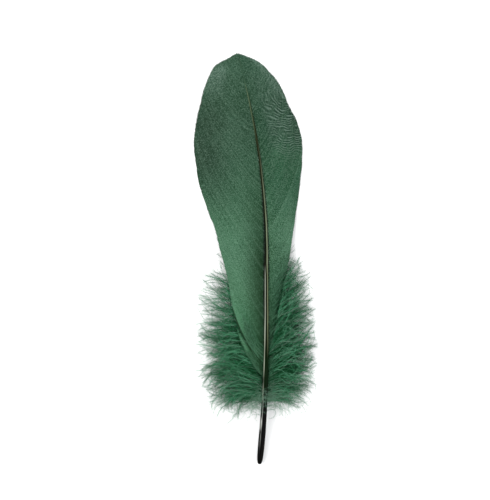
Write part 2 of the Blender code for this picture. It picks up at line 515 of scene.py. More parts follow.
    # fine speckle: partly from place to place, partly along each barb
    grain = m.noise(m.stretch(position, 1.0, 0.85, 1.0), 3100.0, 2.0, 0.6)
    own = m.noise(
        m.join(m.math("MULTIPLY", rnd, 190.0), m.math("MULTIPLY", along, 96.0)), 1.0, 1.0
    )
    speckle = m.math("ADD", m.math("MULTIPLY", grain, 0.58), m.math("MULTIPLY", own, 0.42))
    light = m.range(speckle, 0.50, 0.60)
    dark = m.range(speckle, 0.50, 0.40)
    calm = 0.46 if side < 0 else 0.62
    strength = m.ramp(station, [(0.30, calm), (0.60, calm + 0.05), (0.74, 0.66), (1.0, 0.70)])
    fleck = m.ramp(station, [(0.25, srgb(112, 160, 130)), (0.52, srgb(120, 162, 136)), (0.72, srgb(102, 128, 111))])
    quiet = m.math("MULTIPLY_ADD", m.math("MULTIPLY", near, hollow_shade_depth), -0.85, 1.0)
    body = m.mix(m.math("MULTIPLY", m.math("MULTIPLY", light, strength), quiet), body, fleck)
    body = m.mix(m.math("MULTIPLY", dark, strength), body, srgb(24, 50, 34))
    wear_and_highlight = m.math("MULTIPLY", rim, 0.50)
    body = m.mix(m.math("MULTIPLY", light, wear_and_highlight), body, srgb(152, 174, 160))
    body = m.mix(m.math("MULTIPLY", dark, wear_and_highlight), body, srgb(38, 62, 50))
    # soft blotches of dye
    blotch = m.noise(position, 120.0, 3.0, 0.55)
    body = m.mix(m.range(blotch, 0.48, 0.75, 0.0, 0.14), body, srgb(88, 124, 102))
    body = m.mix(m.range(blotch, 0.50, 0.25, 0.0, 0.16), body, srgb(36, 66, 48))
    # each barb takes the dye a little differently
    body = m.mix(m.range(rnd, 0.6, 1.0, 0.0, 0.15), body, srgb(108, 140, 118))
    fringe = m.math("MULTIPLY", m.range(across, 0.72, 0.98), m.ramp(station, [(0.22, 0.8), (0.32, 0.6), (0.38, 0.0)]))
    body = m.mix(fringe, body, srgb(102, 152, 118))
    # painted shade in the crease at the lower notch: those barbs carry rnd below 0 and show dark; barbs with a low rnd
    # show a little darker
    body = m.mix(m.range(rnd, 0.0, -1.0, 0.0, 0.85), body, srgb(20, 50, 30))
    body = m.mix(m.range(rnd, 0.4, 0.0, 0.0, 0.20), body, srgb(34, 60, 44))
    if side > 0:
        # painted highlights and shade in fine crescents across the barbs near the tip
        spot = m.split(m.stretch(position, 1000.0, 1000.0, 1000.0))
        bend = m.noise(position, 160.0, 1.0)
        dx = m.math("SUBTRACT", spot[0], 15.5)
        dy = m.math("SUBTRACT", spot[1], 71.0)
        far = m.math(
            "SQRT",
            m.math("ADD", m.math("MULTIPLY", m.math("MULTIPLY", dx, dx), 0.45), m.math("MULTIPLY", dy, dy)),
        )
        wave = m.math("SINE", m.math("MULTIPLY", m.math("ADD", far, m.math("MULTIPLY", bend, 5.0)), 5.6))
        here = m.math(
            "MULTIPLY",
            m.ramp(station, [(0.72, 0.0), (0.79, 0.9), (0.86, 1.0), (0.90, 0.4), (0.97, 0.15)]),
            m.range(across, 0.20, 0.50),
        )
        here = m.math("MULTIPLY", here, m.range(m.noise(position, 420.0, 1.0), 0.35, 0.6))
        body = m.mix(m.math("MULTIPLY", m.range(wave, 0.1, 1.0), m.math("MULTIPLY", here, 0.75)), body, srgb(122, 146, 132))
        body = m.mix(m.math("MULTIPLY", m.range(wave, -0.1, -1.0), m.math("MULTIPLY", here, 0.75)), body, srgb(30, 52, 42))
    m.drive("Base Color", body)

    m.drive("Roughness", m.range(speckle, 0.3, 0.7, 0.52, 0.68, kind="LINEAR"))
    m.set("Specular IOR Level", 0.07)
    # barbules slant off each side of a barb
    chevron = m.math(
        "SINE",
        m.math(
            "MULTIPLY_ADD",
            m.math("ABSOLUTE", lateral),
            3.0,
            m.math("MULTIPLY", along, 800.0),
        ),
    )
    m.drive("Normal", m.bump(chevron, 0.10, 0.00003))
    return m.material


def down_material(name, shades, root_shade, tip_shade):
    """Loose down: each barb a little lighter or darker, darkest at its root, paler towards its tip."""
    m = Nodes(name)
    strand = m.split(m.attribute("strand"))  # random, along, lateral
    rnd, along, lateral = strand[0], strand[1], strand[2]
    body = m.ramp(rnd, [(k / 3, srgb(*shade, DOWN_HAZE)) for k, shade in enumerate(shades)])
    body = m.mix(m.range(lateral, 0.10, 0.70, 0.0, 0.35), body, srgb(*root_shade, DOWN_HAZE))
    body = m.mix(m.range(lateral, 0.30, 0.02, 0.0, 0.40), body, srgb(*tip_shade, DOWN_HAZE))
    body = m.mix(m.range(along, 0.30, 0.0, 0.0, 0.60), body, srgb(*root_shade, DOWN_HAZE))
    body = m.mix(m.range(along, 0.50, 1.0, 0.0, 0.30), body, srgb(*tip_shade, DOWN_HAZE))
    streak = m.noise(
        m.join(m.math("MULTIPLY", rnd, 91.0), m.math("MULTIPLY", along, 7.0)), 1.6, 2.0
    )
    body = m.mix(m.range(streak, 0.55, 0.3, 0.0, 0.4), body, srgb(*root_shade, DOWN_HAZE))
    m.drive("Base Color", body)
    m.drive("Roughness", m.range(streak, 0.3, 0.7, 0.62, 0.8, kind="LINEAR"))
    m.set("Specular IOR Level", 0.05)
    return m.material


def shaft_material():
    """Dyed keratin: glossy black quill with a painted highlight on its left, then a rachis with a silver ridge, a
    painted highlight, and a tan ridge beside a black groove.
    """

    def keratin(r, g, b):
        return srgb(r, g, b, SHAFT_HAZE)

    m = Nodes("shaft_keratin")
    place = m.split(m.attribute("place"))  # across -1..1, station 0..1, top 1 / under 0
    u, station, top = place[0], place[1], place[2]
    position = m.position()
    long_noise = m.noise(m.stretch(position, 1.0, 0.04, 1.0), 1500.0, 2.0, 0.6)
    soft = m.noise(m.stretch(position, 1.0, 0.25, 1.0), 260.0, 3.0, 0.6)

    body = m.ramp(
        station,
        [
            (0.00, keratin(6, 7, 5)),
            (0.15, keratin(8, 10, 7)),
            (0.19, keratin(18, 34, 18)),
            (0.25, keratin(21, 38, 21)),
            (0.30, keratin(21, 31, 13)),
            (0.36, keratin(18, 28, 10)),
            (0.58, keratin(20, 26, 12)),
            (0.72, keratin(30, 34, 20)),
            (0.81, keratin(34, 46, 28)),
            (0.86, keratin(52, 72, 52)),
            (0.92, keratin(60, 89, 70)),
            (1.00, keratin(60, 91, 72)),
        ],
    )
    soft_here = m.math("MULTIPLY", m.range(soft, 0.4, 0.7), m.ramp(station, [(0.14, 0.05), (0.2, 0.3), (0.7, 0.35)]))
    body = m.mix(soft_here, body, keratin(52, 46, 28))

    def stripe(left, right, weights, colour, body, blur=0.08):
        band = m.math(
            "MULTIPLY",
            m.range(u, left - blur, left + blur),
            m.range(u, right + blur, right - blur),
        )
        weight = m.math("MULTIPLY", m.ramp(station, weights), band)
        weight = m.math("MULTIPLY", weight, m.range(long_noise, 0.30, 0.60, 0.65, 1.0))
        weight = m.math("MULTIPLY", weight, top)
        return m.mix(weight, body, colour)

    # silver ridge on the left, over the downy part: painted highlight along the ridge's lit left side
    body = stripe(
        -0.94,
        -0.36,
        [(0.285, 0.0), (0.33, 1.0), (0.42, 0.85), (0.46, 0.65), (0.485, 0.0)],
        keratin(156, 163, 148),
        body,
    )
    # the painted highlight narrows to a pale line towards the quill
    body = stripe(
        -0.86,
        -0.54,
        [(0.150, 0.0), (0.165, 0.5), (0.190, 0.45), (0.205, 0.08), (0.222, 0.45), (0.235, 0.85), (0.31, 1.0), (0.345, 0.0)],
        keratin(172, 180, 160),
        body,
    )
    # thin tan ridge on the right, beyond the groove
    body = stripe(
        0.36,
        0.84,
        [(0.26, 0.0), (0.30, 0.5), (0.35, 0.9), (0.44, 1.0), (0.50, 0.6), (0.54, 0.0)],
        keratin(128, 138, 104),
        body,
    )
    # broad tan ridge along the closed vane
    body = stripe(
        -0.02,
        0.82,
        [(0.46, 0.0), (0.49, 0.9), (0.60, 1.0), (0.65, 1.0), (0.685, 0.6), (0.74, 0.25), (0.80, 0.0)],
        keratin(130, 142, 114),
        body,
    )
    # faint olive line on the left near the tip
    body = stripe(
        -1.0,
        -0.2,
        [(0.78, 0.0), (0.84, 0.7), (0.90, 1.0), (0.93, 0.2), (1.0, 0.0)],
        keratin(106, 124, 94),
        body,
    )
    # pale painted highlight on the quill, in streaks just below the down, most of all on its left
    streaky = m.math("MULTIPLY", m.range(long_noise, 0.26, 0.50), top)
    wear_and_highlight = m.math(
        "MULTIPLY",
        m.math("MULTIPLY", m.range(u, -1.0, -0.86), m.range(u, -0.22, -0.46)),
        m.ramp(station, [(0.080, 0.0), (0.092, 0.9), (0.106, 0.9), (0.118, 0.0)]),
    )
    line = m.math(
        "MULTIPLY",
        m.math("MULTIPLY", m.range(u, -0.64, -0.50), m.range(u, -0.24, -0.36)),
        m.ramp(station, [(0.032, 0.0), (0.050, 0.14), (0.080, 0.36), (0.118, 0.40), (0.150, 0.25), (0.17, 0.0)]),
    )
    painted_highlight = m.math("MULTIPLY", streaky, m.math("MAXIMUM", wear_and_highlight, line))
    body = m.mix(painted_highlight, body, keratin(196, 199, 192))
    m.drive("Base Color", body)
    gloss = m.ramp(station, [(0.0, 0.20), (0.16, 0.24), (0.26, 0.40), (1.0, 0.55)])
    m.drive("Roughness", m.math("ADD", gloss, m.math("MULTIPLY", painted_highlight, 0.3)))
    m.set("Specular IOR Level", 0.035)
    m.drive("Normal", m.bump(long_noise, 0.2, 0.00005))
    return m.material


# ---- the two closed vanes --------------------------------------------------------
BARBS = {-1: 250, 1: 226}
BARB_STEPS = {-1: 34, 1: 30}
FIRST = {-1: 35.4, 1: 50.0}
TUCK = 0.18  # how far past the outline a barb's centre line runs
MARCH = 0.3  # mm


def wave_sum(x, waves):
    return sum(a * np.sin(2 * np.pi * x / w + p) for a, w, p in waves)


def barb_paths(side, stations, jitter, rng):
    """Plan paths of barbs from the shaft to the outline, (n, steps, 2), and their lengths."""
    n = len(stations)
    y = QUILL_END_Y + stations
    at = np.stack([shaft_x(y) + side * 0.8 * shaft_radius(y), y], -1)
    track, done = [at], np.full(n, -1)
    root_angle = math.radians(48.0 if side < 0 else 52.0)
    mid_angle = math.radians(29.0 if side < 0 else 33.0)
    for k in range(1, 420):
        x, y = at[:, 0], at[:, 1]
        s = y - QUILL_END_Y
        width = WIDTH[side](s)
        off = side * (x - shaft_x(y))
        r = np.clip(off / np.maximum(width, 0.4), 0, 1.2)
        slope = np.arctan((WIDTH[side](s + 0.8) - WIDTH[side](s - 0.8)) / 1.6)
        end_angle = np.clip(slope + math.radians(10), math.radians(7), math.radians(44))
        middle = np.maximum(mid_angle * (1 - 0.25 * smooth((s - 140) / 30)), end_angle)
        first = smooth(r / 0.28)
        angle = root_angle + (middle - root_angle) * first
        angle = angle + (end_angle - middle) * smooth((r - 0.35) / 0.65)
        heading = shaft_tilt(y) + side * (angle + jitter * r)
        at = at + MARCH * np.stack([np.sin(heading), np.cos(heading)], -1)
        track.append(at)
        s = at[:, 1] - QUILL_END_Y
        out = side * (at[:, 0] - shaft_x(at[:, 1])) > WIDTH[side](s) + TUCK
        out |= s > LENGTH - 0.05
        done[(done < 0) & out] = k
        if (done > 0).all():
            break
    done[done < 0] = len(track) - 1
    track = np.stack(track, 1)
    length = done * MARCH + rng.normal(0, 0.05, n)
    length = np.clip(length, 0.5, (len(track[0]) - 1) * MARCH)
    steps = BARB_STEPS[side]
    # A little denser at the root, where a barb turns most.
    share = np.linspace(0, 1, steps) ** 1.25
    want = share[None, :] * length[:, None] / MARCH
    low = np.minimum(want.astype(int), len(track[0]) - 2)
    part = (want - low)[..., None]
    rows = np.arange(n)[:, None]
    return track[rows, low] * (1 - part) + track[rows, low + 1] * part, length, share


def build_vane(side, material):
    rng = np.random.default_rng(SEED + side)
    n = BARBS[side]
    stations = np.linspace(FIRST[side], 174.2, n)
    stations = stations + rng.normal(0, 0.05, n)
    drift = wave_sum(stations, [(0.010, 9.0, 1.0), (0.007, 4.1, 2.0)])
    jitter = drift + rng.normal(0, 0.003, n)
    # notches where neighbouring barbs have come unhooked: (station, turn, reach)
    notches = (
        [(42.5, 0.07, 1.6), (158.5, 0.02, 1.2)]
        if side < 0
        else [(60.0, 0.05, 2.5), (70.0, 0.03, 2.0), (124.0, 0.010, 1.5)]
    )
    for station, turn, reach in notches:
        gone = stations - station
        jitter += np.where(gone < 0, 1, -0.25) * turn * np.exp(-np.abs(gone) / reach)
    plan, length, share = barb_paths(side, stations, jitter, rng)
    steps = plan.shape[1]
    y = plan[..., 1]
    radius = shaft_radius(y)
    off = side * (plan[..., 0] - shaft_x(y))
    width = np.maximum(WIDTH[side](y - QUILL_END_Y), 0.4)
    across = np.clip((off - radius) / np.maximum(width - radius, 0.3), 0, 1.12)
    z = vane_z(y, across)
    # ripples that run out along the barbs
    window = (
        0.30 * smooth((stations - 70) / 30)
        if side < 0
        else 0.25 + 0.75 * smooth((stations - 78) / 18) * (1 - smooth((stations - 140) / 20))
    )
    ripple = wave_sum(
        stations,
        [(0.34, 23.0, 0.6), (0.15, 11.3, 2.2), (0.03, 5.2, 1.1)],
    )
    z = z + (window * ripple)[:, None] * (
        smooth(share * 1.6) * (1 - 0.55 * smooth((share - 0.45) / 0.55))
    )[None, :]
    z = z + rng.normal(0, 0.006, n)[:, None] * smooth(share * 5)[None, :]
    if side > 0:
        # a soft fold along the barbs, the lower part lying a little higher
        under_fold = np.maximum(100.6 - stations, 0.0)
        fold = smooth(under_fold / 1.2) * np.exp(-under_fold / 14.0)
        z = z + 0.13 * fold[:, None] * smooth(share * 1.5)[None, :]
    if side < 0:
        # the lowest barbs hang free in a lobe of their own
        z = z - 0.22 * smooth((42.5 - stations) / 0.4)[:, None] * smooth(share * 1.3)[None, :]
        z = z - 0.20 * np.exp(-(((stations - 42.6) / 0.6) ** 2))[:, None] * smooth(share * 2.0)[None, :]
    z = np.maximum(z, 0.10)
    path = np.concatenate([plan, z[..., None]], -1)
    up = np.array([0.0, 0.0, 1.0])
    tangent, lateral, normal = frames(path, up)
    # spacing between neighbours, square to them, and the slope from one to the next
    gap = path[1:] - path[:-1]
    over, rise = (gap * lateral[:-1]).sum(-1), (gap * normal[:-1]).sum(-1)
    slant = np.clip(rise / np.where(over < 0, -1, 1) / np.maximum(np.abs(over), 0.08), -0.9, 0.9)
    slant = np.pad(np.concatenate([slant, slant[-1:]]), ((4, 4), (0, 0)), mode="edge")
    slant = np.mean([slant[k : k + n] for k in range(9)], axis=0)
    lateral = unit(lateral + slant[..., None] * normal)
    normal = np.cross(lateral, tangent)
    beside = np.abs(np.concatenate([over, over[-1:]])) * np.sqrt(1 + slant**2)
    half = np.clip(0.5 * beside * 1.6, 0.06, 0.5)
    half = half * (0.75 + 0.25 * smooth(share / 0.05))[None, :]
    # the tips are cut off along the outline, each a little proud or short of it
    slope = np.arctan((WIDTH[side](y - QUILL_END_Y + 0.8) - WIDTH[side](y - QUILL_END_Y - 0.8)) / 1.6)
    ragged = rng.normal(0, 0.05, n) + wave_sum(stations, [(0.05, 7.7, 1.0), (0.04, 3.1, 0.0)])
    left_to_go = (width - off) * np.cos(slope) + ragged[:, None]
    outer = np.clip(left_to_go, -half + 0.012, half)
    thin = (0.45 + 0.55 * smooth((outer + half) / (1.2 * half))) * np.ones((n, steps))
    ridge = 0.044 * (1 - 0.4 * share)[None, :] * thin
    under = -0.066 * thin
    # each barb's outer edge tucks under its neighbour's
    roll = rng.normal(0, 0.003, n)[:, None]
    low_side, high_side = (-outer, half) if side < 0 else (-half, outer)
    middle_line = (low_side + high_side) / 2
    a = np.stack([low_side, middle_line, high_side, middle_line], -1)
    b = np.stack(
        [0.010 * thin + roll, ridge, -0.040 * thin - roll, under], -1
    )
    points, quads, caps = sweep(path, lateral, normal, a, b)
    points[:, 2] = np.maximum(points[:, 2], 0.02)
    rnd = rng.random(n)
    if side < 0:
        # painted shade along the crease at the lower notch: these barbs get rnd below 0, which the material shows dark
        crease = np.exp(-(((stations - 42.6) / 0.50) ** 2))
        rnd = rnd * (1 - crease) - crease
    lean = np.array([-1.0, 0.0, 1.0, 0.0])
    shape = (n, steps, 4)

    def spread(values):
        return np.broadcast_to(values, shape).ravel()

    place = np.stack(
        [
            spread(across[..., None]),
            spread(((y - QUILL_END_Y) / LENGTH)[..., None]),
            spread((off - radius)[..., None]),
        ],
        -1,
    )
    strand = np.stack(
        [
            spread(rnd[:, None, None]),
            spread((share[None, :] * length[:, None] / 40.0)[..., None]),
            spread(lean[None, None, :]),
        ],
        -1,
    )
    # plan-view map: the upper faces in one half of the image, the lower in the other
    low, high = points.min(0), points.max(0)
    flat = (points[:, :2] - low[:2]) / (high[:2] - low[:2])
    flat = 0.01 + 0.98 * flat
    quad_uv = flat[quads].copy()
    lower = np.tile(np.array([0, 0, 1, 1]), len(quads) // 4)
    quad_uv[..., 0] = quad_uv[..., 0] * 0.5 + 0.5 * lower[:, None]
    cap_uv = flat[caps].copy()
    cap_uv[..., 0] *= 0.5
    parts = Parts()
    origin = np.stack([spread((stations / LENGTH)[:, None, None])] * 3, -1)
    parts.add(points, [quads, caps], place, strand, [quad_uv, cap_uv], origin)
    name = "vane_left_barbs" if side < 0 else "vane_right_barbs"
    node = "vane_left" if side < 0 else "vane_right"
    return piece(name, parts, material, node, sharp=50)


# ---- loose down ----------------------------------------------------------------
def fibre_needles(parts, p0, p1, p2, r0, r1, strand0, strand1, uv0, uv1, turn):
    """Bent three-sided needles: ring at p0, ring at p1, point at p2."""
    n = len(p0)
    d0, d1 = unit(p1 - p0), unit(p2 - p0)
    e1 = unit(np.cross(d0, turn))
    e2 = np.cross(d0, e1)
    rings = []
    for centre, r in ((p0, r0), (p1, r1)):
        for angle in (0, 2 * math.pi / 3, 4 * math.pi / 3):
            rings.append(
                centre
                + (math.cos(angle) * e1 + math.sin(angle) * e2) * r[:, None]
            )
    points = np.stack([*rings, p2], 1)
    first = (np.arange(n) * 7)[:, None]
    quads = np.concatenate(
        [first + np.array([[s, (s + 1) % 3, 3 + (s + 1) % 3, 3 + s]]) for s in range(3)]
    )
    tris = np.concatenate(
        [first + np.array([[3 + s, 3 + (s + 1) % 3, 6]]) for s in range(3)]
        + [first + np.array([[0, 2, 1]])]
    )
    mid_strand = (strand0 + strand1) / 2
    strand = np.stack([strand0] * 3 + [mid_strand] * 3 + [strand1], 1).reshape(-1, 3)
    nudge = np.array([[0, 0.0], [0.0006, 0.0009], [-0.0006, 0.0009]])
    uv = np.stack(
        [uv0 + nudge[i] for i in range(3)]
        + [(uv0 + uv1) / 2 + nudge[i] for i in range(3)]
        + [uv1],
        1,
    ).reshape(-1, 2)
    place = np.zeros_like(strand)
    parts.add(points.reshape(-1, 3), [quads, tris], place, strand, uv)


def fibre_tetras(parts, p0, p1, r0, strand0, strand1, uv0, uv1, turn):
    """Straight three-sided needles: ring at p0, point at p1."""
    n = len(p0)
    d0 = unit(p1 - p0)
    e1 = unit(np.cross(d0, turn))
    e2 = np.cross(d0, e1)
    ring = [
        p0 + (math.cos(a) * e1 + math.sin(a) * e2) * r0[:, None]
        for a in (0, 2 * math.pi / 3, 4 * math.pi / 3)
    ]
    points = np.stack([*ring, p1], 1)
    first = (np.arange(n) * 4)[:, None]
    tris = np.concatenate(
        [first + np.array([[s, (s + 1) % 3, 3]]) for s in range(3)]
        + [first + np.array([[0, 2, 1]])]
    )
    strand = np.stack([strand0] * 3 + [strand1], 1).reshape(-1, 3)
    nudge = np.array([[0, 0.0], [0.0006, 0.0009], [-0.0006, 0.0009]])
    uv = np.stack([uv0 + nudge[i] for i in range(3)] + [uv1], 1).reshape(-1, 2)
    parts.add(points.reshape(-1, 3), [tris], np.zeros_like(strand), strand, uv)


def under_vane(points, clearance=0.6):
    """Keeps points below the closed vanes and above the surface the feather lies on."""
    x, y, z = points[..., 0], points[..., 1], points[..., 2]
    s = y - QUILL_END_Y
    for side in (-1, 1):
        off = side * (x - shaft_x(y))
        width = WIDTH[side](s)
        inside = (off > 0) & (off < width + 0.7) & (s > FIRST[side])
        lid = vane_z(y, off / np.maximum(width, 0.4)) - clearance
        z = np.where(inside, np.minimum(z, lid), z)
    out = points.copy()
    out[..., 2] = np.clip(z, 0.04, 7.8)
    return out


def over_vane(points, clearance=0.12):
    """Keeps points just above the closed vanes and the shaft."""
    x, y, z = points[..., 0], points[..., 1], points[..., 2]
    s = y - QUILL_END_Y
    for side in (-1, 1):
        off = side * (x - shaft_x(y))
        width = WIDTH[side](s)
        inside = (off > 0) & (off < width) & (s > FIRST[side])
        lid = vane_z(y, off / np.maximum(width, 0.4)) + clearance
        z = np.where(inside, np.maximum(z, lid), z)
    off, radius = np.abs(x - shaft_x(y)), shaft_radius(y)
    crown = shaft_z(y) + np.sqrt(np.maximum(radius**2 - off**2, 0.0)) + 0.05
    z = np.where(off < radius, np.maximum(z, crown), z)
    out = points.copy()
    out[..., 2] = np.clip(z, 0.04, 8.75)
    return out


def plumes(parts, spec, rng, hold=under_vane):
    """Downy barbs, each a fine curved tube with barbules along both sides.

    spec: arrays per barb: root (n, 3), a0, a1, a2 headings from +Y towards +X at
    root, middle and end, length, z_end and lift, and numbers for the barbules.
    """
    root, length = spec["root"], spec["length"]
    n, steps = len(length), spec.get("steps", 16)
    t = np.linspace(0, 1, steps)
    a0, a1, a2 = (spec[k][:, None] for k in ("a0", "a1", "a2"))
    early, late = smooth(t / 0.45)[None], smooth((t - 0.35) / 0.65)[None]
    heading = a0 + (a1 - a0) * early + (a2 - a1) * late
    phase = rng.uniform(0, 2 * np.pi, (4, n, 1))
    if "phase" in spec:  # neighbours wave together
        phase[0] = spec["phase"][:, None] + rng.normal(0, 0.5, (n, 1))
    curl = spec["curl"] * rng.uniform(0.3, 1.5, (n, 1))
    heading = heading + curl * t * (
        np.sin(2 * np.pi * 0.9 * t + phase[0])
        + 0.7 * np.sin(2 * np.pi * 2.1 * t + phase[1])
        + 0.16 * np.sin(2 * np.pi * 4.3 * t + phase[3])
    )
    heading = heading + spec.get("hook", 0.0) * rng.normal(0, 1, (n, 1)) * t**3
    pace = (length / (steps - 1))[:, None]
    dx, dy = np.sin(heading) * pace, np.cos(heading) * pace
    zero = np.zeros((n, 1))
    dx = np.concatenate([zero, np.cumsum(dx[:, :-1], 1)], 1)
    dy = np.concatenate([zero, np.cumsum(dy[:, :-1], 1)], 1)
    # a barb that would reach past the tuft's edge is shorter
    room_left = root[:, 0] - (-25.8 + rng.uniform(0, 3.0, n))
    room_right = 26.2 - rng.uniform(0, 3.0, n) - root[:, 0]
    fit = np.minimum(
        room_left / np.maximum(-dx.min(1), 1e-6), room_right / np.maximum(dx.max(1), 1e-6)
    )
    fit = np.minimum(fit, 1.0)[:, None]
    x = root[:, :1] + dx * fit
    y = root[:, 1:2] + dy * fit
    z = root[:, 2:] + (spec["z_end"][:, None] - root[:, 2:]) * smooth(t * 0.9 + 0.05)
    z = z + spec["lift"][:, None] * np.sin(np.pi * t) + 0.35 * t * np.sin(
        2 * np.pi * 1.7 * t + phase[2]
    )
    path = np.stack([x, y, z], -1)
    if hold is under_vane:
        path = under_vane(path, 0.8)
    else:
        path = over_vane(path, 0.2)
    up = np.array([0.0, 0.0, 1.0])
    tangent, lateral, normal = frames(path, up)
    rnd = spec["rnd"]
    columns = (np.arange(n) + 0.5) / n
    thick = spec["radius"] * (1 - 0.85 * t)[None, :, None] * np.ones((n, 1, 3))
    a = thick * np.array([-0.87, 0.0, 0.87])
    b = thick * np.array([-0.5, 1.0, -0.5])
    points, quads, caps = sweep(path, lateral, normal, a, b)
    shape = (n, steps, 3)
    strand = np.stack(
        [
            np.broadcast_to(rnd[:, None, None], shape).ravel(),
            np.broadcast_to(t[None, :, None], shape).ravel(),
            np.zeros(n * steps * 3),
        ],
        -1,
    )
    sideways = np.array([-0.1, 0.0, 0.1]) / n
    uv = np.stack(
        [
            (columns[:, None, None] + sideways[None, None, :] + np.zeros(shape)).ravel(),
            np.broadcast_to(0.01 + 0.97 * t[None, :, None], shape).ravel(),
        ],
        -1,
    )
    parts.add(points, [quads, caps], np.zeros_like(strand), strand, uv)

    # barbules
    counts = np.maximum((length * spec["per_mm"]).astype(int), 4)
    barb = np.repeat(np.arange(n), counts)
    place = np.concatenate([(np.arange(c) + 0.5) / c for c in counts])
    start = spec.get("bare", 0.02)
    place = start + (0.99 - start) * place
    place = np.clip(place + rng.normal(0, 0.002, len(place)), start, 0.999)
    m = len(place)
    at = place * (steps - 1)
    low = np.minimum(at.astype(int), steps - 2)
    part = (at - low)[:, None]

    def along(field):
        return field[barb, low] * (1 - part) + field[barb, low + 1] * part

    p0, T = along(path), unit(along(tangent))
    L, N = unit(along(lateral)), unit(along(normal))
    sign = np.where(np.arange(m) % 2 == 0, 1.0, -1.0)[:, None]
    # some lie long and silky along the barb, most of all towards its tip
    silky = rng.random(m) < spec["silk"] + (0.5 - spec["silk"]) * smooth((place - 0.75) / 0.2)
    lean = rng.normal(spec["lean"], spec["spread"], m)
    lean = np.where(silky, rng.normal(13, 6, m), lean * (1 - 0.3 * smooth((place - 0.7) / 0.3)))
    lean = np.radians(np.clip(lean, 3, 110))[:, None]
    roll = rng.normal(0, spec["roll"], m)[:, None]
    outward = L * sign * np.cos(roll) + N * np.sin(roll)
    d0 = unit(T * np.cos(lean) + outward * np.sin(lean))
    bend = np.where(silky, rng.normal(0, 0.22, m), rng.normal(0.15, spec["bend"], m))[:, None]
    d1 = unit(d0 + bend * np.cross(N, d0) * sign + rng.normal(0, 0.16, (m, 3)))
    profile = (0.45 + 0.55 * smooth(place / 0.25)) * (
        1 - spec["fade"] * smooth((place - 0.5) / 0.5)
    )
    size = spec["reach"] * profile * rng.uniform(0.45, 1.25, m) * np.where(silky, 1.65, 1.0)
    p1 = p0 + d0 * (0.5 * size)[:, None]
    p2 = p1 + d1 * (0.5 * size)[:, None]
    p1, p2 = hold(p1), hold(p2)
    value = np.clip(rnd[barb] + rng.normal(0, 0.09, m), 0, 1)
    s0 = np.stack([value, place, np.zeros(m)], -1)
    s1 = np.stack([value, np.minimum(place + 0.25, 1.0), np.ones(m)], -1)
    uv0 = np.stack([columns[barb] + 0.12 * sign[:, 0] / n, 0.01 + 0.97 * place], -1)
    uv1 = np.stack([columns[barb] + 0.44 * sign[:, 0] / n, 0.012 + 0.97 * place], -1)
    turn = unit(rng.normal(0, 1, (m, 3)))
    r = spec["barbule"] * rng.uniform(0.75, 1.25, m) * np.where(silky, 0.85, 1.0)
    r = r * (1 - spec["thin"] * smooth((place - 0.45) / 0.5)) if "thin" in spec else r
    bent = rng.random(m) < spec["bent"] * np.where(silky, 1.3, 0.8)
    straight = ~bent
    if bent.any():
        g = bent
        fibre_needles(
            parts, p0[g], p1[g], p2[g], r[g], 0.75 * r[g], s0[g], s1[g], uv0[g], uv1[g], turn[g]
        )
    if straight.any():
        g = straight
        fibre_tetras(parts, p0[g], p2[g], r[g], s0[g], s1[g], uv0[g], uv1[g], turn[g])


# Layers of a tuft from the surface up: barbs, height range of their ends, share of
# the full reach, and their barbules' number per mm, length, width and bent share.
# tone: the core and under layers darkest and the crest palest, partly the dye and partly painted shade deep in the tuft
LAYERS = (
    ("under", dict(count=44, ends=(0.15, 0.9), share=0.95, per_mm=8.0, reach=2.8, barbule=0.044, bent=0.0, tone=-0.20, silk=0.2, locks=0.4, radius=0.045, curl=0.30, hook=0.4, thin=0.5, low=1.3)),
    ("core", dict(count=100, ends=(0.6, 2.6), share=0.93, per_mm=8.5, reach=3.3, barbule=0.070, bent=0.0, tone=-0.40, silk=0.1, locks=0.0, radius=0.045, curl=0.25, hook=0.2, thin=0.72, low=0.72)),
    ("middle", dict(count=54, ends=(1.2, 4.0), share=0.98, per_mm=9.0, reach=2.4, barbule=0.027, bent=0.15, tone=-0.22, silk=0.30, locks=0.6, radius=0.05, curl=0.35, hook=0.6, thin=0.0, low=0.9)),
    ("top", dict(count=84, ends=(2.2, 5.4), share=1.0, per_mm=7.5, reach=1.5, barbule=0.027, bent=0.15, tone=-0.08, silk=0.40, locks=0.9, radius=0.055, curl=0.55, hook=1.2, thin=0.0, low=0.9)),
    ("crest", dict(count=100, ends=(3.4, 6.8), share=1.0, per_mm=6.0, reach=0.85, barbule=0.030, bent=0.1, tone=0.52, silk=0.45, locks=1.2, radius=0.105, curl=1.0, hook=2.2, thin=0.0, low=0.80)),
)


